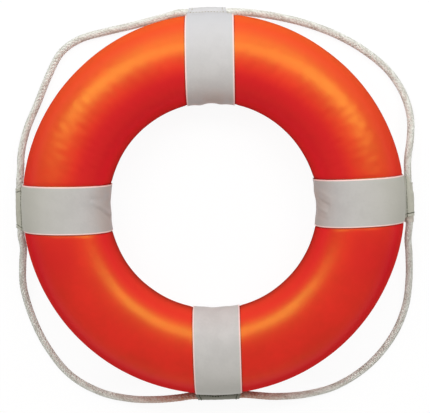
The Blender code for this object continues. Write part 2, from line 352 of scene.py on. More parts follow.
@dataclass(frozen=True)
class Cloth:
    """Vinyl-coated cloth, on a UV map named cloth that is in metres."""

    name: str
    width: float
    length: float
    colour: Colour = (0.575, 0.560, 0.545)
    tones: Span = (0.955, 1.03)
    blotches: float = 38.0
    flecks: float = 260.0
    flecked: float = 0.3
    mottled: Span = (0.35, 0.65)
    # Pale pink painted as a highlight along both cut edges.
    edge: Colour = (0.98, 0.70, 0.66)
    edge_width: Span = (0.0014, 0.0026)
    # A browner, darker tint in patches towards the middle of the length, which on a band is its
    # hole side.
    soil: Colour = (0.50, 0.43, 0.38)
    soil_reach: Span = (0.018, 0.075)
    soil_patches: Span = (0.30, 0.60)
    soiling: float = 0.0
    # A darker, yellower tint towards the ends of the length, which on a band is its outer rim.
    rim_colour: Colour = (0.535, 0.530, 0.460)
    rim_reach: Span = (0.010, 0.150)
    rim_share: float = 0.0
    # Dark olive for painted shade in the seam's crevice and for dark marks at the tacks.
    grime: Colour = (0.085, 0.090, 0.060)
    seam_at: float = 0.0
    seam_grime: float = 0.0
    seam_width: float = 0.0007
    tacks: tuple[float, ...] = ()
    tack_width: float = 0.0006
    ragged: Patches = Patches(330.0, 2.0, 0.30, 0.55)
    roughness: float = 0.50
    gloss: float = 0.35
    thread: float = 0.0007
    weave_depth: float = 0.00002
    dents: Dents = Dents(70.0, 0.0003, 3.0)

    def material(self) -> Material:
        """The cloth: a fine weave, a browner patchy tint towards the middle of its length and
        another tint towards its ends, a painted highlight along its edges, and painted shade in the
        seam's crevice with dark marks at the tacks.
        """
        surface = Surface(self.name)
        sheet = surface.add("ShaderNodeUVMap", uv_map="cloth")
        across, along, _ = surface.axes(sheet)
        threads = [surface.calc("SINE", x * (TURN / self.thread)) * 0.25 for x in (across, along)]
        blotches = surface.noise(self.blotches, 4.0)
        mottle = blotches * (1 - self.flecked) + surface.noise(self.flecks) * self.flecked
        surface.base(surface.fade(mottle, *self.mottled), self.colour, self.tones)
        # Browner and darker in patches towards the middle of the length.
        if self.soiling:
            near = surface.below(abs(along - self.length / 2), self.soil_reach)
            patch = near * surface.fade(blotches, *self.soil_patches)
            surface.paint(patch * self.soiling, self.soil)
        if self.rim_share:
            from_rim = surface.calc("MINIMUM", along, self.length - along)
            near = surface.below(from_rim, self.rim_reach)
            surface.paint(near * self.rim_share, self.rim_colour)
        # A painted highlight along both edges.
        surface.paint(surface.below(self.width / 2 - abs(across), self.edge_width), self.edge)
        # Painted shade in the seam's crevice, and dark marks at the tacks.
        if self.seam_grime:
            ragged = surface.patches(self.ragged)
            marks = [surface.near(across, self.seam_at, self.seam_width)]
            marks += [surface.near(along, tack, self.tack_width) for tack in self.tacks]
            for mark in marks:
                surface.paint(mark * ragged * self.seam_grime, self.grime)
        weave = threads[0] + threads[1] + 0.5
        return surface.finish(
            Roughness=self.roughness,
            Normal=surface.bump(weave, self.weave_depth, surface.dents(self.dents)),
            Specular_IOR_Level=self.gloss,
        )


@dataclass(frozen=True)
class Yarn:
    """Rope, twine or thread, on attributes named along, around and strand."""

    name: str
    colour: Colour
    dark: Colour
    speck: Colour
    # A red-brown tint in patches low down, beside the bottom sleeve.
    dirt: Colour | None = None
    dirt_below: Span = (-0.30, -0.26)
    dirt_beside: Span = (0.02, 0.19)
    dirt_share: Span = (0.55, 0.90)
    dirt_patches: Patches = Patches(300.0, 2.0, 0.42, 0.60)
    roughness: float = 0.85
    gloss: float = 0.25
    nap: float = 0.15
    specks: Patches = Patches(420.0, 3.0, 0.52, 0.64)
    speckled: float = 0.5
    blotches: float = 55.0
    blotch_shade: float = 0.8
    strand_shade: float = 0.55
    shade_range: Span = (0.25, 0.85)
    fibre: float = 0.0011
    fibre_turns: int = 3
    fibre_shade: float = 0.18
    fibre_depth: float = 0.00012
    fuzz: Dents = Dents(900.0, 0.00015)

    def material(self) -> Material:
        """The yarn: twisted fibres, a lighter or darker colour for each strand, darker specks and a
        red-brown tint low down beside the bottom sleeve.
        """
        surface = Surface(self.name)
        along, around, strand = (surface.attribute(x) for x in ("along", "around", "strand"))
        turns = along * (TURN / self.fibre / self.fibre_turns) + around * (TURN * self.fibre_turns)
        fibres = surface.calc("SINE", turns) * 0.5 + 0.5
        blotches = surface.noise(self.blotches, 3.0)
        shade = blotches * self.blotch_shade + strand * self.strand_shade
        surface.coat = self.dark
        surface.paint(surface.fade(shade, *self.shade_range), self.colour)
        surface.paint(surface.patches(self.specks) * self.speckled, self.speck)
        # Red-brown in patches low down, beside the bottom sleeve.
        if self.dirt:
            x, y, _ = surface.axes(surface.place)
            here = surface.below(y, self.dirt_below) * surface.below(abs(x), self.dirt_beside)
            least, most = self.dirt_share
            uneven = surface.patches(self.dirt_patches) * (most - least) + least
            surface.paint(here * uneven, self.dirt)
        surface.paint(fibres * self.fibre_shade, self.dark)
        return surface.finish(
            Roughness=self.roughness,
            Normal=surface.bump(fibres, self.fibre_depth, surface.dents(self.fuzz)),
            Specular_IOR_Level=self.gloss,
            Sheen_Weight=self.nap,
        )


ROPE_YARN = Yarn(
    "braided_rope",
    colour=(0.85, 0.87, 0.81),
    dark=(0.66, 0.65, 0.58),
    speck=(0.42, 0.41, 0.36),
    dirt=(0.54, 0.10, 0.012),
)
TWINE = Yarn("binding_twine", (0.90, 0.86, 0.78), (0.70, 0.65, 0.57), (0.50, 0.45, 0.38))
DARK_THREAD = Yarn("sewing_thread", (0.13, 0.14, 0.08), (0.06, 0.07, 0.04), (0.03, 0.03, 0.02))
PALE_THREAD = Yarn("pale_thread", (0.52, 0.46, 0.34), (0.36, 0.32, 0.24), (0.20, 0.18, 0.14))


@dataclass(frozen=True)
class Foam:
    """Closed-cell foam of the core."""

    colour: Colour = (0.80, 0.78, 0.70)
    tones: Span = (0.88, 1.0)
    patches: Patches = Patches(14.0, 3.0, 0.35, 0.65)
    roughness: float = 0.9
    cells: float = 700.0
    cell_depth: float = 0.0004

    def material(self) -> Material:
        """The foam, with small cells and a yellowed colour."""
        surface = Surface("closed_cell_foam")
        cells = surface.add("ShaderNodeTexVoronoi", {0: surface.place, "Scale": self.cells})
        surface.base(surface.patches(self.patches), self.colour, self.tones)
        normal = surface.bump(cells, self.cell_depth)
        return surface.finish(Roughness=self.roughness, Normal=normal)


@dataclass(frozen=True)
class Backdrop:
    """White floor that shows the object's shadow faintly and gives back plain light."""

    colour: Colour = (0.60, 0.60, 0.60)
    white: Colour = (1.0, 1.0, 1.0)
    glow: float = 0.925
    shown_shadow: float = 0.15

    def material(self) -> Material:
        """The floor: mostly white to the camera and in reflections, plain to all other rays."""
        material = bpy.data.materials.new("white_floor")
        material.use_nodes = True
        graph = Graph(material.node_tree)
        material.node_tree.nodes.clear()
        plain = graph.add("ShaderNodeBsdfDiffuse", {"Color": self.colour})
        strength = self.glow / (1 - self.shown_shadow)
        white = graph.add("ShaderNodeEmission", {"Color": self.white, "Strength": strength})
        rays = graph.add("ShaderNodeLightPath").outputs
        seen = graph.calc("MAXIMUM", rays["Is Camera Ray"], rays["Is Glossy Ray"])
        seen = graph.calc("MAXIMUM", seen, rays["Is Transmission Ray"])
        share = seen * (1 - self.shown_shadow)
        mixed = graph.add("ShaderNodeMixShader", {0: share, 1: plain, 2: white})
        graph.add("ShaderNodeOutputMaterial", {"Surface": mixed})
        return material


# Meshes


def signed_power(value: Array | float, power: float) -> Array | float:
    """The value's size raised to a power, with the value's sign."""
    return np.sign(value) * np.abs(value) ** power


def smooth_step(value: Array, low: float, high: float) -> Array:
    """0 below low, 1 above high and smooth between them."""
    share = np.clip((np.asarray(value, float) - low) / (high - low), 0.0, 1.0)
    return share * share * (3 - 2 * share)


def plateau(value: Array, rise: Span, fall: Span) -> Array:
    """1 between a smooth rise and a smooth fall, each given by its start and end."""
    return smooth_step(value, *rise) * (1 - smooth_step(value, *fall))


def bell(value: Array, middle: float, width: float) -> Array:
    """A smooth bump of height 1 round a middle value."""
    return np.exp(-(((np.asarray(value, float) - middle) / width) ** 2))


def heading(angle: float) -> Array:
    """The level direction at an angle round the ring."""
    return np.array([math.cos(math.radians(angle)), math.sin(math.radians(angle)), 0.0])


def lengths(points: Array) -> Array:
    """The distance of each point of a line from its start, along the line."""
    steps = np.linalg.norm(np.diff(points, axis=0), axis=1)
    return np.concatenate([[0.0], np.cumsum(steps)])


def resample(points: Array, want: Array) -> Array:
    """Points of a line at these distances from its start."""
    along = lengths(points)
    return np.stack([np.interp(want, along, column) for column in points.T], -1)


def link(name: str, data: bpy.types.ID) -> Obj:
    """A new object in the scene with this mesh, light or camera."""
    obj = bpy.data.objects.new(name, data)
    bpy.context.scene.collection.objects.link(obj)
    return obj


def swept_body(
    name: str,
    rows: Array,
    closed: bool,
    sheet: tuple[Array, Array] | None = None,
) -> Obj:
    """A closed body swept through cross-sections, each a closed loop with as many points.

    Args:
        name: The object's name.
        rows: Points, as cross-section by point by coordinate.
        closed: Whether the last cross-section joins the first. Otherwise both ends are capped by
            strips between the first and second half of the loop's points.
        sheet: UV map in metres, as u of each point and v of each cross-section, both with one more
            value where the loop or the sweep closes.

    Returns:
        The object, with its faces outwards.
    """
    count, points = rows.shape[:2]
    steps = count if closed else count - 1
    corners_row = np.repeat(np.arange(steps), points)[:, None] + [0, 1, 1, 0]
    corners_column = np.tile(np.arange(points), steps)[:, None] + [0, 0, 1, 1]
    faces = (corners_row % count) * points + corners_column % points
    smooth = np.ones(len(faces), bool)
    if not closed:
        first = np.arange(points // 2 - 1)
        cap = np.stack([first, first + 1, points - 2 - first, points - 1 - first], -1)
        for start, order in ((0, slice(None)), ((count - 1) * points, slice(None, None, -1))):
            faces = np.concatenate([faces, cap[:, order] + start])
            corners_row = np.concatenate([corners_row, np.full_like(cap, start // points)])
            corners_column = np.concatenate([corners_column, cap[:, order]])
        smooth = np.concatenate([smooth, np.zeros(2 * len(cap), bool)])
    places = rows.reshape(-1, 3)
    a, b, c, d = (places[faces[:, k]] for k in range(4))
    volume = sum((a * np.cross(p, q)).sum() for p, q in ((b, c), (c, d)))
    if volume < 0:
        turned = (x[:, ::-1] for x in (faces, corners_row, corners_column))
        faces, corners_row, corners_column = turned
    mesh = bpy.data.meshes.new(name)
    mesh.vertices.add(len(places))
    mesh.vertices.foreach_set("co", places.ravel())
    mesh.loops.add(faces.size)
    mesh.loops.foreach_set("vertex_index", faces.ravel())
    mesh.polygons.add(len(faces))
    mesh.polygons.foreach_set("loop_start", np.arange(0, faces.size, 4))
    mesh.polygons.foreach_set("use_smooth", smooth)
    if sheet is not None:
        layer = mesh.uv_layers.new(name="cloth")
        uv = np.stack([sheet[0][corners_column.ravel()], sheet[1][corners_row.ravel()]], -1)
        layer.data.foreach_set("uv", uv.ravel())
    mesh.update(calc_edges=True)
    mesh.validate()
    return link(name, mesh)


def chains(name: str, lines: list[Array]) -> Obj:
    """An object of loose edges that run through the points of each line."""
    mesh = bpy.data.meshes.new(name)
    starts = np.cumsum([len(line) for line in lines])
    edges = [(i - 1, i) for i in range(1, starts[-1]) if i not in starts]
    mesh.from_pydata(np.concatenate(lines).tolist(), edges, [])
    return link(name, mesh)


def dress(obj: Obj, material: Material) -> Obj:
    """Gives an object one material."""
    obj.data.materials.clear()
    obj.data.materials.append(material)
    return obj


def settle(obj: Obj, node: str | None = None) -> Obj:
    """Has a piece ride the ring, and hides the node of the model that it replaces."""
    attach(obj, RING)
    if node:
        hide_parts(node)
    return obj


# Geometry node trees


class Maker(Graph):
    """A geometry node tree with named inputs, which makes its result along paths."""

    def __init__(self, name: str, inputs: dict[str, str]) -> None:
        """Starts the tree.

        Args:
            name: The tree's name.
            inputs: Input name to socket type. The path and the material come by themselves.
        """
        super().__init__(bpy.data.node_groups.new(name, "GeometryNodeTree"))
        face = self.tree.interface
        for label, kind in {"Path": "Geometry", **inputs, "Material": "Material"}.items():
            face.new_socket(label, in_out="INPUT", socket_type=f"NodeSocket{kind}")
        face.new_socket("Result", in_out="OUTPUT", socket_type="NodeSocketGeometry")
        outputs = self.add("NodeGroupInput").outputs
        self.given = {socket.name: Term(self, socket) for socket in outputs}
        self.names = {x.name: x.identifier for x in face.items_tree if x.in_out == "INPUT"}

    def close(self, geometry: object) -> None:
        """Ends the tree: instances made real, smooth faces and the material."""
        real = self.add("GeometryNodeRealizeInstances", {0: geometry})
        smooth = self.add("GeometryNodeSetShadeSmooth", {0: real})
        inputs = {0: smooth, "Material": self.given["Material"]}
        self.add("NodeGroupOutput", {0: self.add("GeometryNodeSetMaterial", inputs)})

    def run(self, name: str, lines: list[Array], values: dict[str, object]) -> Obj:
        """Makes a plain mesh object along paths.

        Args:
            name: The new object's name.
            lines: The points of each path.
            values: The tree's inputs by name.

        Returns:
            The object, with no modifier left.
        """
        carrier = chains(f"{name}_path", lines)
        modifier = carrier.modifiers.new("make", "NODES")
        modifier.node_group = self.tree
        for label, value in values.items():
            modifier[self.names[label]] = value
        bpy.context.view_layer.update()
        result = carrier.evaluated_get(bpy.context.evaluated_depsgraph_get())
        mesh = bpy.data.meshes.new_from_object(result)
        mesh.name = name
        bpy.data.objects.remove(carrier)
        return link(name, mesh)


@dataclass(frozen=True)
class Winding:
    """How strands wind round a path. Each field is an input of the braid's tree."""

    strands: int
    turn_length: float
    ring_radius: float
    strand_width: float
    strand_thickness: float
    step: float
    weave_depth: float = 0.0
    uneven: float = 0.0

    def inputs(self, material: Material) -> dict[str, object]:
        """The tree's inputs by name."""
        sizes = {name.replace("_", " ").title(): value for name, value in vars(self).items()}
        return {**sizes, "Material": material}


class Braid(Maker):
    """Strands that wind round a path both ways and pass over two and under two others."""

    def __init__(self) -> None:
        """Builds the tree."""
        names = (
            "Turn Length",
            "Ring Radius",
            "Strand Width",
            "Strand Thickness",
            "Step",
            "Weave Depth",
            "Uneven",
        )
        super().__init__("braid", {"Strands": "Int", **dict.fromkeys(names, "Float")})
        given, strands = self.given, self.given["Strands"]
        line = self.add("GeometryNodeMeshToCurve", {"Mesh": given["Path"]})
        inputs = {"Curve": line, "Length": given["Step"]}
        line = self.add("GeometryNodeResampleCurve", inputs, mode="LENGTH")
        inputs = {"Geometry": line, "Amount": strands}
        copies = self.add("GeometryNodeDuplicateElements", inputs, domain="SPLINE").outputs
        number = Term(self, copies["Duplicate Index"])
        way = 1 - number % 2 * 2
        start = self.calc("FLOOR", number / 2) * (2 * TURN) / strands
        length = Term(self, self.add("GeometryNodeSplineParameter").outputs["Length"])
        angle = length / given["Turn Length"] * TURN * way + start
        lift = self.calc("COSINE", angle * (strands / 4) - math.pi / 4)
        lift = lift * way * given["Weave Depth"] + given["Uneven"] * way
        normal = self.add("GeometryNodeInputNormal").outputs[0]
        tangent = self.add("GeometryNodeInputTangent").outputs[0]
        beside = self.vector("CROSS_PRODUCT", tangent, normal)
        out = self.vector(
            "ADD",
            self.vector("SCALE", normal, Scale=self.calc("COSINE", angle)),
            self.vector("SCALE", beside, Scale=self.calc("SINE", angle)),
        )
        shade = number * 7 % strands / strands
        line = self.store(copies["Geometry"], "strand", shade, domain="CURVE")
        line = self.store(line, "along", length)
        line = self.store(line, "out", out, kind="FLOAT_VECTOR")
        out = self.add("GeometryNodeInputNamedAttribute", {0: "out"}, data_type="FLOAT_VECTOR")
        offset = self.vector("SCALE", out, Scale=given["Ring Radius"] + lift)
        line = self.add("GeometryNodeSetPosition", {"Geometry": line, "Offset": offset})
        line = self.add("GeometryNodeSetCurveNormal", {"Curve": line, "Normal": out}, mode="FREE")
        inputs = {"Resolution": 8, "Radius": 0.5}
        profile = self.add("GeometryNodeCurvePrimitiveCircle", inputs)
        inputs = {0: given["Strand Thickness"], 1: given["Strand Width"], 2: 1.0}
        size = self.add("ShaderNodeCombineXYZ", inputs)
        profile = self.add("GeometryNodeTransform", {"Geometry": profile, "Scale": size})
        share = self.add("GeometryNodeSplineParameter").outputs["Factor"]
        profile = self.store(profile, "around", share)
        inputs = {"Curve": line, "Profile Curve": profile, "Fill Caps": True}
        self.close(self.add("GeometryNodeCurveToMesh", inputs))

    def store(
        self, geometry: object, name: str, value: object, kind: str = "FLOAT", domain: str = "POINT"
    ) -> bpy.types.Node:
        """Stores a named attribute on a geometry."""
        inputs = {"Geometry": geometry, "Name": name, "Value": value}
        return self.add(
            "GeometryNodeStoreNamedAttribute", inputs, data_type=kind, domain=domain
        )


class StitchRow(Maker):
    """Stitches set end to end along paths."""

    def __init__(self) -> None:
        """Builds the tree."""
        super().__init__(
            "stitch_row", {"Pitch": "Float", "Stitch Length": "Float", "Thread": "Float"}
        )
        given = self.given
        path = self.add("GeometryNodeMeshToCurve", {"Mesh": given["Path"]})
        inputs = {"Curve": path, "Length": given["Pitch"]}
        spots = self.add("GeometryNodeResampleCurve", inputs, mode="LENGTH")
        inputs = {"Segments": 8, "Rings": 6, "Radius": 0.5}
        bead = self.add("GeometryNodeMeshUVSphere", inputs)
        tangent = self.add("GeometryNodeInputTangent")
        turn = self.add("FunctionNodeAlignRotationToVector", {"Vector": tangent}, axis="X")
        inputs = {0: given["Stitch Length"], 1: given["Thread"], 2: given["Thread"]}
        size = self.add("ShaderNodeCombineXYZ", inputs)
        inputs = {"Points": spots, "Instance": bead, "Rotation": turn, "Scale": size}
        self.close(self.add("GeometryNodeInstanceOnPoints", inputs))


# The ring


@dataclass(frozen=True)
class Tube:
    """The foam tube that everything is wrapped round."""

    outer_diameter: float = 0.610
    hole_diameter: float = 0.334
    thickness: float = 0.114
    exponent: float = 2.2
    middle_height: float = 0.0584925

    @property
    def rim_radius(self) -> float:
        """Radius of the outer rim."""
        return self.outer_diameter / 2

    @property
    def radius(self) -> float:
        """Radius of the tube's middle line."""
        return (self.outer_diameter + self.hole_diameter) / 4

    @property
    def half_width(self) -> float:
        """Half the tube's width."""
        return (self.outer_diameter - self.hole_diameter) / 4

    def normal(self, angle: Array) -> tuple[Array, Array]:
        """The outward direction at a section angle, as its outward and upward parts."""
        power = 2 - 2 / self.exponent
        out = signed_power(np.cos(np.radians(angle)), power) / self.half_width
        rise = signed_power(np.sin(np.radians(angle)), power) / (self.thickness / 2)
        size = np.hypot(out, rise)
        return out / size, rise / size

    def section(self, angle: Array, offset: Array | float) -> tuple[Array, ...]:
        """A point of the section.

        Args:
            angle: Section angle: 0 at the outer rim, 90 at the front, 180 at the hole.
            offset: Distance outside the tube's surface.

        Returns:
            The radius from the ring's axis and the height above the floor.
        """
        out, rise = self.normal(angle)
        power = 2 / self.exponent
        across = self.half_width * signed_power(np.cos(np.radians(angle)), power)
        up = self.thickness / 2 * signed_power(np.sin(np.radians(angle)), power)
        return self.radius + across + offset * out, self.middle_height + up + offset * rise

    def angle_at(self, rise: float) -> float:
        """The section angle near the outer rim at a height above the tube's middle."""
        return math.degrees(math.asin((rise / (self.thickness / 2)) ** (self.exponent / 2)))


@dataclass(frozen=True)
class Place:
    """Where one band and its sleeve are.

    The sleeve lies on the band at a section angle below the outer rim, its drop, and is sewn on a
    little off the band's middle, by its shift.
    """

    angle: float
    drop: float
    rope_radius: float
    rope_height: float
    shift: float
    sleeve_length: float

    @property
    def half(self) -> float:
        """Half the sleeve's length."""
        return self.sleeve_length / 2

    @property
    def out(self) -> Array:
        """The direction away from the ring's axis."""
        return heading(self.angle)

    @property
    def along(self) -> Array:
        """The direction of the rope in the sleeve."""
        x, y, _ = self.out
        return np.array([-y, x, 0.0])


PLACES = {
    Side.RIGHT: Place(3.1, 10.0, 0.314427, 0.044904, 0.0, 0.0655),
    Side.TOP: Place(91.0, 21.0, 0.309319, 0.032273, 0.0046, 0.0635),
    Side.LEFT: Place(180.2, 11.5, 0.312764, 0.043306, 0.0040, 0.0700),
    Side.BOTTOM: Place(271.9, 9.0, 0.313334, 0.046376, -0.0017, 0.0730),
}


@dataclass(frozen=True)
class Cover:
    """The vinyl cover: two shells that meet in a seam along the outer and the inner rim.

    Waves in the skin are given as their count round the ring, twist, phase and share of a depth.
    Where light and shade are painted on the skin is given by how far it faces outwards (or
    inwards), and last by the height on the hanging ring.
    """

    tube: Tube
    finish: Vinyl = Vinyl()
    wall: float = 0.0012
    columns: int = 720
    outer_rows: int = 54
    inner_rows: int = 24
    crowding: float = 2.5
    crowded_width: float = 0.006
    seam_gap: float = 0.0003
    seam_rises: tuple[float, ...] = (0.0004, 0.0008, 0.0014, 0.0022, 0.0033)
    seam_depth: float = 0.0006
    seam_width: float = 0.0011
    # A dark seam line, and painted shade in a wide band along both rims.
    soiled_width: float = 0.0125
    seam_grime: float = 0.5
    valley_depth: float = 0.0008
    valley_width: float = 0.0035
    valley_edge: Span = (-0.002, 0.001)
    # A painted contact shadow beside the bands.
    grime_width: float = 0.0012
    band_grime: float = 0.8
    scuffed_outside: Span = (39.0, 64.0)
    scuffed_in_hole: Span = (32.0, 56.0)
    # Shares and places of the painted light, then of the painted shade.
    hole_fade: float = 0.35
    flank_fade: float = 0.28
    flank_fade_at: tuple[Span, Span] = ((-0.15, 0.15), (0.45, 0.35))
    hole_shade_at: tuple[Span, Span, Span] = ((0.02, 0.30), (0.55, 0.90), (-0.25, 0.35))
    flank_shade: float = 0.6
    flank_shade_at: tuple[Span, Span, Span] = ((-0.25, 0.05), (0.60, 0.95), (-0.28, 0.17))
    band_half: float = 0.0375
    wave_depth: float = 0.0003
    waves: Waves = ((5, 1, 0.4, 0.5), (9, 2, 2.1, 0.3), (14, 3, 4.0, 0.18), (23, 2, 1.2, 0.1))
    free_of_band: Span = (0.002, 0.020)
    free_of_seam: Span = (0.004, 0.020)
    pucker_depth: float = 0.000045
    pucker_height: Span = (-0.2, 0.5)
    pucker_least: float = 0.2
    puckers: Waves = (
        (61, 7, 0.3, 1.0),
        (83, -11, 2.2, 1.0),
        (97, 5, 4.1, 1.0),
        (118, -3, 1.1, 1.0),
        (71, 15, 5.2, 1.0),
        (53, -14, 3.4, 1.0),
    )

    def angles(self) -> Array:
        """Section angles of the outer wall from the outer rim to the hole, close by the seams."""
        near = [self.tube.angle_at(rise) for rise in self.seam_rises]
        wide = np.linspace(0.0, 180.0, self.outer_rows + 1)
        wide = wide[(wide > near[-1] + 1) & (wide < 179 - near[-1])]
        return np.array([0.0, *near, *wide, *(180 - np.array(near[::-1])), 180.0])

    def turns(self) -> Array:
        """Angles round the ring, closer together beside the bands."""
        even = np.linspace(0.0, 360.0, 3601)
        past = self.past_band(even, np.full(even.shape, 90.0))
        want = 1 + self.crowding * bell(past, 0.0, self.crowded_width)
        share = np.concatenate([[0.0], np.cumsum((want[1:] + want[:-1]) / 2)])
        return np.interp(np.arange(self.columns) / self.columns * share[-1], share, even)

    def past_band(self, turn: Array, angle: Array) -> Array:
        """Distance from the nearest band's edge, negative under the band."""
        radius = self.tube.section(angle, 0.0)[0]
        past = np.full(radius.shape, 1.0)
        for place in PLACES.values():
            way = np.radians(turn - place.angle)
            aside = np.abs(radius * np.sin(way)) - self.band_half
            past = np.minimum(past, np.where(np.cos(way) > 0, aside, 1.0))
        return past

    def from_seam(self, angle: Array) -> Array:
        """How far a section angle is above or below the seams."""
        return np.abs(self.tube.section(angle, 0.0)[1] - self.tube.middle_height)

    def crease(self, turn: Array, angle: Array) -> Array:
        """How dark the skin is painted at an angle round the ring and a section angle, from 0 to 1:
        a dark seam line, painted shade in a wide band along both rims, and a painted contact shadow
        beside the bands.
        """
        rise = self.from_seam(angle)
        seam = bell(rise, 0.0, self.seam_width) + bell(rise, 0.0, self.soiled_width)
        beside = bell(self.past_band(turn, angle), 0.0, self.grime_width)
        return np.clip(self.band_grime * beside + self.seam_grime * seam, 0.0, 1.0)

    def scuff(self, turn: Array, angle: Array) -> Array:
        """How worn and dull the skin is, which is most at both rims."""
        outside = smooth_step(np.abs(angle), *self.scuffed_outside)
        in_hole = smooth_step(180 - np.abs(angle), *self.scuffed_in_hole)
        return 1 - np.minimum(outside, in_hole)

    def fade(self, turn: Array, angle: Array) -> Array:
        """How much painted light lies on what faces up on a hanging ring, towards the lamps, less
        in the hole.
        """
        out, rise = self.tube.normal(angle)
        height = np.sin(np.radians(turn))
        upward = np.clip(out * height, 0.0, 1.0) * np.where(out < 0, self.hole_fade, 1.0)
        outward, heights = self.flank_fade_at
        flank = bell(height, *heights) * smooth_step(out, *outward)
        flank = flank * np.clip(rise, 0.0, 1.0) ** 2
        return np.clip(upward + self.flank_fade * flank, 0.0, 1.0)

    def shade(self, turn: Array, angle: Array) -> Array:
        """Painted shade where a hanging ring faces away from the lamps: the hole's upper side and
        low flanks.
        """
        out = self.tube.normal(angle)[0]
        height = np.sin(np.radians(turn))
        *inward, heights = self.hole_shade_at
        hole = plateau(-out, *inward) * smooth_step(height, *heights)
        *outward, heights = self.flank_shade_at
        return hole + self.flank_shade * plateau(out, *outward) * bell(height, *heights)

    def relief(self, turn: Array, angle: Array) -> Array:
        """How far the skin stands out at an angle round the ring and a section angle."""
        rise, past = self.from_seam(angle), self.past_band(turn, angle)
        beside = bell(past, 0.0, self.valley_width) * smooth_step(past, *self.valley_edge)
        relief = -self.seam_depth * bell(rise, 0.0, self.seam_width) - self.valley_depth * beside
        free = smooth_step(past, *self.free_of_band) * smooth_step(rise, *self.free_of_seam)
        high = smooth_step(np.sin(np.radians(turn)), *self.pucker_height)
        free = free * (self.pucker_least + (1 - self.pucker_least) * high)
        kinds = ((self.wave_depth, self.waves), (self.pucker_depth * free, self.puckers))
        for depth, waves in kinds:
            for count, twist, phase, size in waves:
                wave = count * np.radians(turn) + twist * np.radians(angle) + phase
                relief = relief + depth * size * np.sin(wave)
        return relief

    def build(self, half: Half) -> Obj:
        """One shell of the cover."""
        sign = 1 if half is Half.FRONT else -1
        # Attributes for the vinyl: a dark seam line with painted shade along the rims and beside
        # the bands, scuffed rims, painted light and painted shade.
        wear_and_painted_light = {
            "crease": self.crease,
            "scuff": self.scuff,
            "faded": self.fade,
            "unfaded": self.shade,
        }
        walls, layers = [], {name: [] for name in wear_and_painted_light}
        inner = np.linspace(180.0, 0.0, self.inner_rows)
        for angles, offset in ((self.angles(), 0.0), (inner, -self.wall)):
            turn, section = np.meshgrid(self.turns(), sign * angles, indexing="ij")
            for name, measure in wear_and_painted_light.items():
                layers[name].append(measure(turn, section))
            radius, height = self.tube.section(section, self.relief(turn, section) + offset)
            edge = self.tube.middle_height + sign * self.seam_gap / 2
            height[:, [0, -1]] = edge
            height = np.maximum(height, edge) if sign > 0 else np.minimum(height, edge)
            way = np.radians(turn)
            walls.append(np.stack([radius * np.cos(way), radius * np.sin(way), height], -1))
        obj = swept_body(f"cover_skin_{half.value}", np.concatenate(walls, axis=1), True)
        for name, parts in layers.items():
            layer = obj.data.attributes.new(name, "FLOAT", "POINT")
            layer.data.foreach_set("value", np.concatenate(parts, axis=1).ravel())
        settle(dress(obj, self.finish.material()), f"cover_{half.value}")
        return obj


@dataclass(frozen=True)
class Swell:
    """A place where a band's cloth stands off the cover."""

    angle: float
    across: float
    angle_width: float
    across_width: float
    height: float

    def relief(self, angle: Array, across: Array) -> Array:
        """The lift at section angles and distances across the band."""
        lift = self.height * bell(angle, self.angle, self.angle_width)
        return lift * bell(across, self.across, self.across_width)


@dataclass(frozen=True)
class Fold:
    """A ridge or crease in a band's cloth, between two points (section angle, distance across)."""

    start: Span
    end: Span
    width: float
    height: float
    tip: Span = (0.003, 0.004)
    per_degree: float = 0.0012

    def relief(self, angle: Array, across: Array) -> Array:
        """The lift at section angles and distances across the band."""
        x, y = angle * self.per_degree, across
        x0, x1 = self.start[0] * self.per_degree, self.end[0] * self.per_degree
        y0, y1 = self.start[1], self.end[1]
        size = math.hypot(x1 - x0, y1 - y0)
        along = ((x - x0) * (x1 - x0) + (y - y0) * (y1 - y0)) / size
        beside = ((x - x0) * (y1 - y0) - (y - y0) * (x1 - x0)) / size
        past, before = self.tip
        ends = plateau(along, (-past, before), (size - before, size + past))
        return self.height * bell(beside, 0.0, self.width) * ends


@dataclass(frozen=True)
class Strap:
    """What is particular to one band: how its cloth lies, and its colour, with a brightness painted
    for its light.

    The bridge is how far the cloth's middle stands off the tube in the hole.
    """

    bridge: float
    reliefs: tuple[Swell | Fold, ...]
    # A brightness painted for the band's light.
    tone: float = 0.905
    soiling: float = 0.60
    rim_share: float = 0.95
    rim_colour: Colour = Cloth.rim_colour


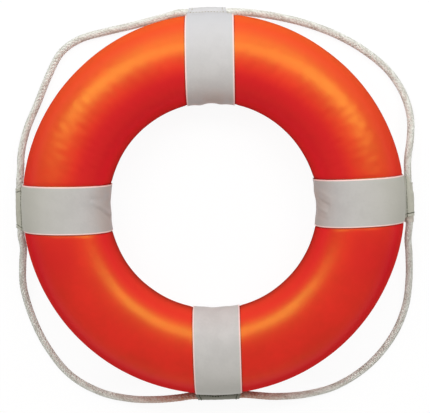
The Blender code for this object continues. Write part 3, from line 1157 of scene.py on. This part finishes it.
# Each band's brightness is painted for its light, and the top band's cool rim colour is painted
# cool light from above.
STRAPS = {
    Side.RIGHT: Strap(
        0.0002,
        (
            Swell(176.0, 0.016, 28.0, 0.012, 0.0026),
            Swell(174.0, -0.027, 24.0, 0.008, 0.0009),
            Fold((172.0, 0.010), (138.0, -0.003), 0.0026, -0.0016),
            Fold((172.0, -0.005), (142.0, -0.013), 0.0026, 0.0018),
            Fold((160.0, 0.022), (134.0, 0.010), 0.0030, 0.0008),
            Fold((168.0, -0.020), (140.0, -0.024), 0.0024, -0.0008),
        ),
    ),
    Side.TOP: Strap(
        0.0003,
        (
            Swell(180.0, 0.018, 26.0, 0.008, 0.0022),
            Swell(178.0, -0.016, 22.0, 0.009, 0.0010),
            Fold((186.0, -0.020), (150.0, 0.004), 0.0030, 0.0005),
        ),
        tone=0.97,
        soiling=0.75,
        # Painted cool light from above.
        rim_colour=(0.578, 0.584, 0.606),
    ),
    Side.LEFT: Strap(
        0.0006,
        (
            Swell(176.0, 0.010, 24.0, 0.012, 0.0012),
            Swell(172.0, -0.020, 20.0, 0.010, 0.0008),
            Fold((129.0, -0.013), (176.0, 0.014), 0.0024, 0.0017),
            Fold((141.0, -0.004), (172.0, 0.020), 0.0022, -0.0013),
            Fold((126.0, -0.018), (150.0, -0.016), 0.0022, -0.0009),
        ),
    ),
    Side.BOTTOM: Strap(
        0.0001,
        (
            Swell(180.0, -0.019, 22.0, 0.010, 0.0015),
            Swell(180.0, 0.013, 24.0, 0.013, 0.0017),
            Fold((184.0, 0.018), (152.0, -0.006), 0.0030, 0.0005),
        ),
        tone=1.01,
        soiling=0.0,
        rim_share=0.5,
    ),
}


@dataclass(frozen=True)
class Bands:
    """The four cloth bands wrapped round the tube."""

    tube: Tube
    width: float = 0.075
    seat: float = 0.0003
    thickness: float = 0.0012
    rows: int = 288
    columns: int = 30
    inner_columns: int = 9
    ripple_height: float = 0.00012
    ripples: tuple[Span, ...] = ((90.0, 3.0), (210.0, -5.0))
    ripple_phase: float = 1.7

    def relief(self, side: Side, angle: Array, across: Array) -> Array:
        """How far the cloth stands off its seat at section angles and distances across."""
        out = self.tube.normal(angle)[0]
        share = np.clip(1 - (across / (self.width / 2)) ** 2, 0.0, 1.0)
        relief = STRAPS[side].bridge * np.clip(-out, 0.0, 1.0) ** 1.5 * share
        for part in STRAPS[side].reliefs:
            relief = relief + part.relief(angle, across) * share**0.5
        phase = self.ripple_phase * list(Side).index(side)
        ripple = sum(
            np.sin(across * per_metre + np.radians(angle) * twist + phase)
            for per_metre, twist in self.ripples
        )
        return relief + self.ripple_height * ripple * share

    def perimeter(self) -> float:
        """Length of the band's cloth round the tube."""
        angle = np.linspace(0.0, 360.0, 721)
        radius, height = self.tube.section(angle, self.seat + self.thickness / 2)
        return float(np.hypot(np.diff(radius), np.diff(height)).sum())

    def build(self, side: Side) -> Obj:
        """One band: a flat strip with rounded edges, closed round the tube."""
        place, strap = PLACES[side], STRAPS[side]
        bend = self.thickness / 2
        flat = self.width / 2 - bend
        corners = np.radians([60.0, 30.0, 0.0, -30.0, -60.0])
        rim_across = flat + bend * np.cos(corners)
        rim_lift = bend + bend * np.sin(corners)
        outer = np.linspace(-flat, flat, self.columns)
        inner = np.linspace(flat, -flat, self.inner_columns)
        across = np.concatenate([outer, rim_across, inner, -rim_across[::-1]])
        top, under = np.full(self.columns, self.thickness), np.zeros(self.inner_columns)
        lift = np.concatenate([top, rim_lift, under, rim_lift[::-1]])
        angle = np.arange(self.rows) * 360 / self.rows
        section, aside = np.meshgrid(angle, across, indexing="ij")
        relief = self.relief(side, section, aside)
        radius, height = self.tube.section(section, self.seat + lift + relief)
        distance = np.sqrt(radius**2 - aside**2)
        rows = distance[..., None] * place.out + aside[..., None] * place.along
        rows[..., 2] = np.maximum(height, lift)
        length = self.perimeter()
        sheet = (np.append(across, across[0]), np.append(angle, 360.0) / 360 * length)
        obj = swept_body(f"band_cloth_{side.value}", rows, True, sheet)
        # The band's brightness, and the top band's rim colour, are painted for its light.
        cloth = Cloth(
            "band_cloth",
            self.width,
            length,
            colour=scaled(Cloth.colour, strap.tone),
            soiling=strap.soiling,
            rim_share=strap.rim_share,
            rim_colour=strap.rim_colour,
        )
        settle(dress(obj, cloth.material()), f"band_{side.value}")
        return obj


# The sleeves


@dataclass(frozen=True)
class Channel:
    """What is particular to one sleeve, with a brightness painted for its light.

    The seam's way is its angle round the rope. The slack is a height, middle and width along the
    rope. The ends that are pinched or tacked are 1 where the rope's direction leads and -1 where
    it comes from. The slant is how far each mouth is cut back.
    """

    seam_way: float
    slant: Span
    slack: tuple[float, float, float]
    # How strongly shade is painted in the seam's crevice and the tacks are marked.
    grime: float
    # A brightness painted for the sleeve's light.
    tone: float
    colour: Colour = (0.574, 0.568, 0.485)
    pinched: tuple[int, ...] = (1, -1)
    tacked: tuple[int, ...] = (-1, 1)
    thread: float = 0.0012
    sag: int = 0


# Each sleeve's brightness is painted for its light: the top one paler and a cooler white, the
# bottom one much darker.
CHANNELS = {
    Side.RIGHT: Channel(
        128.0, (0.001, 0.011), (0.0004, -0.004, 0.014), 0.95, 0.98, pinched=(1,), tacked=(-1,)
    ),
    Side.TOP: Channel(
        96.0, (0.002, 0.003), (0.0013, -0.002, 0.022225), 0.10, 1.05, (0.572, 0.570, 0.580)
    ),
    Side.LEFT: Channel(114.0, (0.002, 0.004), (0.0004, 0.0, 0.0175), 0.80, 0.95),
    Side.BOTTOM: Channel(
        114.0, (0.003, 0.002), (0.0004, 0.0, 0.01825), 1.0, 0.57, thread=0.0019, sag=3
    ),
}


@dataclass(frozen=True)
class Sleeves:
    """The four cloth channels that hold the rope, each sewn to its band by a flange."""

    tube: Tube
    seat: float = 0.0018
    cloth: float = 0.0010
    rise_start: float = 0.014
    rise_end: float = 0.022
    bore: float = 0.00635
    binding_room: float = 0.0012
    binding_end: Span = (0.004, 0.014)
    pinch: float = 0.0002
    pinch_width: float = 0.0025
    flare: float = 0.0003
    flare_length: float = 0.004
    pressed_angle: float = 9.0
    pressed: Span = (-0.00007, 0.00030)
    lap: float = 1.6
    rows: int = 68
    end_rows: int = 5
    end_margin: float = 0.003
    points: int = 90
    outline_points: tuple[int, int, int] = (20, 60, 8)
    tack_inset: float = 0.0055
    tack_from: float = -40.0
    seam_points: int = 40
    sag_at: Span = (-0.004, 0.016)
    stitch_length: float = 0.0034
    pitch: float = 0.0044
    slant_length: float = 0.034
    slanted_from: Span = (-0.2, 0.6)
    ripple_height: float = 0.00010
    ripple_per_metre: float = 520.0
    ripple_per_point: float = 0.21
    edge_thickness: float = 0.35
    edge_width: float = 0.006
    mouth_thickness: float = 0.65
    mouth_length: float = 0.001

    def middle(self, side: Side) -> Array:
        """The middle of the rope's stretch in a sleeve."""
        place = PLACES[side]
        point = place.out * place.rope_radius + place.along * place.shift
        point[2] = place.rope_height
        return point

    def bore_at(self, side: Side, distance: float) -> float:
        """The channel's inner radius at a distance along it."""
        half = PLACES[side].half
        height, middle, width = CHANNELS[side].slack
        extra = height * bell(distance, middle, width)
        if side is Side.RIGHT:
            extra += self.binding_room * (1 - smooth_step(distance, *self.binding_end))
        tack = half - self.tack_inset
        pinches = [bell(distance, end * tack, self.pinch_width) for end in CHANNELS[side].pinched]
        flare = self.flare * smooth_step(abs(distance), half - self.flare_length, half)
        return float(self.bore + extra - self.pinch * sum(pinches) + flare)

    def angle_after(self, angle: float, length: float) -> float:
        """The section angle that lies this length further round the band."""
        step = 0.1
        here = np.array(self.tube.section(angle, self.seat))
        while length > 0:
            angle += step
            there = np.array(self.tube.section(angle, self.seat))
            length -= float(np.linalg.norm(there - here))
            here = there
        return angle

    def slice(self, side: Side, distance: float) -> tuple[Array, Array]:
        """The cloth's middle line and its thickness in a plane across the rope.

        Args:
            side: Which sleeve.
            distance: Distance along the rope from the sleeve's middle.

        Returns:
            Points as (outward, upward) from the rope's centre, and the thickness at each.
        """
        place = PLACES[side]
        low = -place.drop
        top = self.angle_after(low, self.rise_end)

        def flange(offset: float, end_offset: float, angles: Array) -> Array:
            """A layer of the flange this far outside the band, pressed down at its free end."""
            full = smooth_step(top - angles, 0.0, self.pressed_angle)
            offsets = self.seat + end_offset + full * (offset - end_offset)
            radius, height = self.tube.section(angles, offsets)
            out = np.sqrt(radius**2 - (distance + place.shift) ** 2) - place.rope_radius
            return np.stack([out, height - place.rope_height], -1)

        under_points, ring_points, over_points = self.outline_points
        seat = flange(0.0, 0.0, np.array([low]))[0]
        first = math.degrees(math.atan2(seat[1], seat[0])) % 360
        ways = np.radians(np.linspace(first, 360 + CHANNELS[side].seam_way, ring_points))
        wall = self.bore_at(side, distance) + self.cloth / 2
        ring = np.stack([np.cos(ways), np.sin(ways)], -1) * wall
        lower = flange(self.cloth / 2, self.pressed[0], np.linspace(top, low, under_points))
        over = np.linspace(self.angle_after(low, self.rise_start), top, over_points)
        upper = flange(self.cloth * self.lap, self.pressed[1], over)
        line = np.concatenate([lower, ring, upper])
        size = lengths(line)[-1]
        want = np.linspace(0.0, size, self.points)
        line = resample(line, want)
        for _ in range(3):
            line[1:-1] = (line[:-2] + 2 * line[1:-1] + line[2:]) / 4
        from_end = np.minimum(want, size - want)
        thin = (1 - self.edge_thickness) * (1 - smooth_step(from_end, 0.0, self.edge_width))
        return line, self.cloth * (1 - thin)

    def faces(self, side: Side, distance: float) -> tuple[Array, Array]:
        """The cloth's outer and inner side in a plane across the rope."""
        half = PLACES[side].half
        line, thickness = self.slice(side, distance)
        tangent = np.gradient(line, axis=0)
        tangent /= np.linalg.norm(tangent, axis=1)[:, None]
        normal = np.stack([tangent[:, 1], -tangent[:, 0]], -1)
        along = distance * self.ripple_per_metre + len(side.value)
        ripple = np.sin(along + np.arange(self.points) * self.ripple_per_point)
        thin = smooth_step(abs(distance), half - self.mouth_length, half)
        depth = thickness / 2 * (1 - (1 - self.mouth_thickness) * thin)
        outer = line + normal * (depth + self.ripple_height * ripple)[:, None]
        return outer, line - normal * depth[:, None]

    def point_at(self, side: Side, way: float) -> int:
        """The number of the cloth's point at an angle round the rope."""
        line = self.slice(side, 0.0)[0]
        return int(np.argmin(np.linalg.norm(line - heading(way)[:2] * self.bore, axis=1)))

    def place_at(self, side: Side, distance: float, local: Array) -> Array:
        """Points of the ring from points across the rope, shifted along it by the slanted cut."""
        place = PLACES[side]
        low, high = CHANNELS[side].slant
        near = (place.half - self.slant_length, place.half)
        near_low, near_high = smooth_step(-distance, *near), smooth_step(distance, *near)
        outer = smooth_step(local[:, 0] / self.bore, *self.slanted_from)
        reach = distance + outer * (low * near_low - high * near_high)
        points = self.middle(side) + reach[:, None] * place.along + local[:, :1] * place.out
        points[:, 2] += local[:, 1]
        return points

    def build(self, side: Side) -> Obj:
        """One sleeve: a strip of cloth folded round the rope."""
        channel = CHANNELS[side]
        half = PLACES[side].half
        inner_half = half - self.end_margin
        end = np.linspace(inner_half, half, self.end_rows + 1)[1:]
        inside = np.linspace(-inner_half, inner_half, self.rows - 2 * self.end_rows)
        stops = np.concatenate([-end[::-1], inside, end])
        rows = []
        for distance in stops:
            outer, inner = self.faces(side, distance)
            rows.append(self.place_at(side, distance, np.concatenate([outer, inner[::-1]])))
        size = float(lengths(self.slice(side, 0.0)[0])[-1])
        across = np.linspace(-size / 2, size / 2, self.points)
        sheet = (np.concatenate([across, across[::-1], across[:1]]), stops)
        obj = swept_body(f"sleeve_cloth_{side.value}", np.array(rows), False, sheet)
        # The sleeve's brightness is painted for its light.
        colour = scaled(channel.colour, channel.tone)
        cloth = Cloth(
            "sleeve_cloth",
            size,
            2 * half,
            colour=colour,
            edge=colour,
            seam_at=float(across[self.point_at(side, channel.seam_way)]),
            seam_grime=channel.grime,
            tacks=tuple(tip * (half - self.tack_inset) for tip in channel.tacked),
        )
        settle(dress(obj, cloth.material()), f"rope_sleeve_{side.value}")
        return obj

    def seam_lines(self, side: Side) -> list[Array]:
        """Lines of the stitches: along the crevice and across the ends."""
        channel = CHANNELS[side]
        half = PLACES[side].half - self.tack_inset
        seam, low = (self.point_at(side, way) for way in (channel.seam_way, self.tack_from))

        def on_cloth(distance: float, points: slice) -> Array:
            """Points on the sleeve's outer side."""
            return self.place_at(side, distance, self.faces(side, distance)[0][points])

        stops = np.linspace(-half, half, self.seam_points)
        sags = np.round(channel.sag * bell(stops, *self.sag_at)).astype(int)
        line = [on_cloth(d, slice(seam - n, seam - n + 1))[0] for d, n in zip(stops, sags)]
        ends = [on_cloth(end * half, slice(low, seam - 1)) for end in channel.tacked]
        return [np.array(line), *ends]

    def sew(self, side: Side, row: StitchRow, thread: Material) -> Obj:
        """The thread of one sleeve."""
        values = {
            "Pitch": self.pitch,
            "Stitch Length": self.stitch_length,
            "Thread": CHANNELS[side].thread,
            "Material": thread,
        }
        return settle(row.run(f"stitches_{side.value}", self.seam_lines(side), values))


# The grab line


def between(four: list[Array], share: float) -> Array:
    """A point between the middle two of four knots, on a centripetal Catmull-Rom curve."""
    times = [0.0]
    for a, b in zip(four, four[1:]):
        times.append(times[-1] + math.sqrt(float(np.linalg.norm(b - a))))
    here = times[1] + (times[2] - times[1]) * share
    points = four
    for reach in (1, 2):
        pairs = zip(points, points[1:], times, times[reach:])
        points = [a + (b - a) * (here - start) / (end - start) for a, b, start, end in pairs]
    return points[0] + (points[1] - points[0]) * share


@dataclass(frozen=True)
class Route:
    """A free loop's way from one sleeve to the next.

    Each knot is an angle round the ring, how far the rope stands off the outer rim, and how high
    its underside is.
    """

    start: Side
    end: Side
    knots: tuple[Knot, ...]


ROUTES = {
    Loop.TOP_RIGHT: Route(
        Side.RIGHT,
        Side.TOP,
        (
            (14.0, 0.0110, 0.0344), (19.0, 0.0247, 0.0254), (24.0, 0.0378, 0.0148),
            (30.0, 0.0461, 0.0043), (37.0, 0.0467, 0.0008), (45.0, 0.0393, 0.0006),
            (54.0, 0.0287, 0.0007), (63.0, 0.0180, 0.0027), (71.0, 0.0096, 0.0115),
            (79.0, 0.0036, 0.0213),
        ),
    ),
    Loop.TOP_LEFT: Route(
        Side.TOP,
        Side.LEFT,
        (
            (104.0, 0.0010, 0.0218), (109.0, 0.0025, 0.0163), (115.0, 0.0079, 0.0081),
            (122.0, 0.0197, 0.0012), (129.0, 0.0347, 0.0008), (135.0, 0.0396, 0.0006),
            (142.0, 0.0308, 0.0008), (150.0, 0.0215, 0.0016), (158.0, 0.0179, 0.0107),
            (165.0, 0.0124, 0.0242), (169.5, 0.0066, 0.0321),
        ),
    ),
    Loop.BOTTOM_LEFT: Route(
        Side.LEFT,
        Side.BOTTOM,
        (
            (192.5, 0.0072, 0.0318), (197.0, 0.0172, 0.0238), (203.0, 0.0328, 0.0119),
            (211.0, 0.0471, 0.0014), (220.0, 0.0590, 0.0008), (230.0, 0.0680, 0.0006),
            (239.0, 0.0630, 0.0010), (247.0, 0.0477, 0.0080), (254.0, 0.0288, 0.0226),
            (260.0, 0.0136, 0.0345),
        ),
    ),
    Loop.BOTTOM_RIGHT: Route(
        Side.BOTTOM,
        Side.RIGHT,
        (
            (283.0, 0.0122, 0.0349), (288.0, 0.0250, 0.0252), (296.0, 0.0453, 0.0084),
            (304.0, 0.0600, 0.0009), (314.0, 0.0653, 0.0006), (324.0, 0.0615, 0.0006),
            (332.0, 0.0511, 0.0013), (339.0, 0.0352, 0.0086), (346.0, 0.0185, 0.0229),
            (350.5, 0.0094, 0.0322),
        ),
    ),
}


@dataclass(frozen=True)
class GrabLine:
    """The braided rope that runs through all four sleeves."""

    sleeves: Sleeves
    braid: Braid
    yarn: Material
    diameter: float = 0.012
    mouth: float = 0.033
    straight: float = 0.012
    overlap: float = 0.008
    gap: float = 0.0002
    pivot: float = 0.0735
    bend: float = 0.052
    steps: int = 24
    loop_points: int = 240
    plait: Winding = Winding(
        strands=16,
        turn_length=0.050,
        ring_radius=0.00465,
        strand_width=0.0037,
        strand_thickness=0.0016,
        step=0.001,
        weave_depth=0.00055,
        uneven=0.00015,
    )
    core: Winding = Winding(1, 0.050, 0.0, 0.0086, 0.0086, 0.002)
    twine: Winding = Winding(1, 0.001339, 0.00675, 0.0013, 0.0013, 0.0013 / 22)
    binding_span: Span = (-0.042, 0.004)
    meeting: float = -0.019

    def held(self, side: Side, distance: float) -> Array:
        """A point of the straight stretch in and beside a sleeve."""
        return self.sleeves.middle(side) + PLACES[side].along * distance

    def straight_line(self, side: Side, span: Span) -> Array:
        """Points of the straight stretch in and beside a sleeve."""
        return np.array([self.held(side, d) for d in np.linspace(*span, self.steps)])

    def line(self, loop: Loop) -> Array:
        """The rope's centre from the middle of one sleeve to that of the next."""
        route, half = ROUTES[loop], self.diameter / 2
        stops = (-self.mouth, 0.0, self.mouth, self.mouth + self.straight)
        knots = [self.held(route.start, d) for d in stops]
        for angle, stand_off, underside in route.knots:
            knot = (self.sleeves.tube.rim_radius + stand_off + half) * heading(angle)
            knot[2] = underside + half
            knots.append(knot)
        knots += [self.held(route.end, -d) for d in stops[::-1]]
        shares = [step / self.steps for step in range(1, self.steps + 1)]
        points = [knots[1]]
        for i in range(len(knots) - 3):
            points += [between(knots[i : i + 4], share) for share in shares]
        return np.array(points)

    def rope(self, name: str, points: Array) -> Obj:
        """A stretch of braided rope with its core, along points."""
        obj = self.braid.run(name, [points], self.plait.inputs(self.yarn))
        core = self.braid.run(f"{name}_core", [points], self.core.inputs(self.yarn))
        with bpy.context.temp_override(active_object=obj, selected_editable_objects=[obj, core]):
            bpy.ops.object.join()
        return obj

    def loop(self, loop: Loop) -> Obj:
        """A free loop, from one sleeve to the next, in place of the model's loop."""
        line = self.line(loop)
        size = float(lengths(line)[-1])
        inset = self.mouth - self.overlap
        points = resample(line, np.linspace(inset, size - inset, self.loop_points))
        obj = self.rope(f"rope_loop_{loop.value}", points)
        near, middle, far = resample(line, np.array([self.pivot, size / 2, size - self.pivot]))
        chord = (far - near) / np.linalg.norm(far - near)
        out = middle - near
        out -= chord * (out @ chord)
        out /= np.linalg.norm(out)
        end = near + out * self.bend
        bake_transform(obj)
        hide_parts(f"grab_line_{loop.value}")
        size - 2 * self.mouth
        return obj

    def inside(self, side: Side) -> list[Obj]:
        """The rope inside a sleeve. Its two ends meet in the right one."""
        end = self.mouth - self.overlap - self.gap
        spans = {f"at_{side.value}": (-end, end)}
        if side is Side.RIGHT:
            lower, upper = self.meeting - self.gap, self.meeting + self.gap
            spans = {"end_lower": (-end, lower), "end_upper": (upper, end)}
        pieces = []
        for part, span in spans.items():
            obj = self.rope(f"rope_{part}", self.straight_line(side, span))
            pieces.append(settle(obj, f"grab_line_{part}"))
        return pieces

    def binding(self, twine: Material) -> Obj:
        """Twine wound tight over the rope's two ends."""
        points = self.straight_line(Side.RIGHT, self.binding_span)
        obj = self.braid.run("binding_twine", [points], self.twine.inputs(twine))
        return settle(obj, "rope_end_binding")


# The studio


@dataclass(frozen=True)
class Lamp:
    """A soft rectangular lamp that faces the ring. A fill lamp doesn't shine back from it."""

    name: str
    place: Knot
    size: Span
    power: float
    shines: bool = True
    target: Knot = (0.0, 0.0, 0.06)

    def build(self) -> None:
        """The lamp in the scene."""
        data = bpy.data.lights.new(self.name, "AREA")
        data.shape = "RECTANGLE"
        data.size, data.size_y = self.size
        data.energy = self.power
        obj = link(self.name, data)
        obj.location = self.place
        obj.visible_glossy = self.shines
        aim = Vector(self.target) - Vector(self.place)
        obj.rotation_euler = aim.to_track_quat("-Z", "Y").to_euler()


@dataclass(frozen=True)
class Studio:
    """Camera, lamps, floor and backdrop."""

    distance: float = 1.6
    lean_right: float = 1.13
    lean_up: float = 6.33
    focal_pixels: float = 998.9
    centre_pixel: Span = (212.94, 207.03)
    frame_pixels: tuple[int, int] = (430, 413)
    sensor: float = 36.0
    clip: Span = (0.05, 50.0)
    ambient: float = 0.28
    sky: Colour = (1.0, 0.96, 0.92)
    floor_half: float = 30.0
    floor_height: float = -0.0002
    lamps: tuple[Lamp, ...] = (
        Lamp("near_panel", (0.0, 0.78, 1.4), (2.4, 0.5), 13.5),
        Lamp("far_panel", (0.0, 1.6, 1.4), (2.6, 0.5), 7.5),
        Lamp("left_panel", (-0.92, 0.58, 1.4), (0.5, 1.1), 3.2),
        Lamp("right_panel", (0.92, 0.58, 1.4), (0.5, 1.1), 3.2),
        Lamp("low_back", (0.0, 1.5, 0.6), (2.6, 0.4), 4.0),
        Lamp("low_front", (0.0, -1.6, 0.6), (2.0, 0.4), 6.5, shines=False),
    )

    def camera(self, tube: Tube) -> None:
        """The camera at the photograph's angle."""
        leans = [math.tan(math.radians(lean)) for lean in (self.lean_right, self.lean_up)]
        back = Vector((*leans, 1.0)).normalized()
        up = (Vector((0.0, 1.0, 0.0)) - back * back.y).normalized()
        data = bpy.data.cameras.new("camera")
        width, height = self.frame_pixels
        data.sensor_width = self.sensor
        data.lens = self.focal_pixels / width * self.sensor
        data.shift_x = (width / 2 - self.centre_pixel[0]) / width
        data.shift_y = (self.centre_pixel[1] - height / 2) / width
        data.clip_start, data.clip_end = self.clip
        obj = link("camera", data)
        turn = Matrix((up.cross(back), up, back)).transposed().to_4x4()
        centre = Vector((0.0, 0.0, tube.middle_height))
        obj.matrix_world = Matrix.Translation(centre + back * self.distance) @ turn
        bpy.context.scene.camera = obj

    def world(self) -> None:
        """Plain ambient light."""
        world = bpy.data.worlds.new("white_room")
        bpy.context.scene.world = world
        world.use_nodes = True
        graph = Graph(world.node_tree)
        world.node_tree.nodes.clear()
        inputs = {"Color": self.sky, "Strength": self.ambient}
        light = graph.add("ShaderNodeBackground", inputs)
        graph.add("ShaderNodeOutputWorld", {"Surface": light})

    def floor(self) -> None:
        """The floor under the ring."""
        mesh = bpy.data.meshes.new("floor")
        ways = ((-1, -1), (1, -1), (1, 1), (-1, 1))
        corners = [(x * self.floor_half, y * self.floor_half, self.floor_height) for x, y in ways]
        mesh.from_pydata(corners, [], [(0, 1, 2, 3)])
        obj = link("floor", mesh)
        dress(obj, Backdrop().material())

    def build(self, tube: Tube) -> None:
        """Everything but the object."""
        self.camera(tube)
        self.world()
        for lamp in self.lamps:
            lamp.build()
        self.floor()
        bpy.context.scene.view_settings.view_transform = "Standard"


def report(obj: Obj) -> None:
    """Logs a finished piece."""
    LOG.info("%s: %d faces", obj.name, len(obj.data.polygons))


def main() -> None:
    """Builds the scene."""
    tube = Tube()
    Studio().build(tube)
    sleeves = Sleeves(tube)
    line = GrabLine(sleeves, Braid(), ROPE_YARN.material())
    twine, dark, pale = (yarn.material() for yarn in (TWINE, DARK_THREAD, PALE_THREAD))
    for loop in Loop:
        report(line.loop(loop))
    for side in Side:
        for piece in line.inside(side):
            report(piece)
    report(line.binding(twine))
    cover, bands, rows = Cover(tube), Bands(tube), StitchRow()
    foam = Foam().material()
    for half in Half:
        report(cover.build(half))
        report(dress(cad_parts[f"foam_core_{half.value}"], foam))
    for side in Side:
        report(bands.build(side))
        report(sleeves.build(side))
        report(sleeves.sew(side, rows, pale if side is Side.TOP else dark))


if __name__ == "__main__":
    logging.basicConfig(level=logging.INFO, format="%(message)s")
    main()
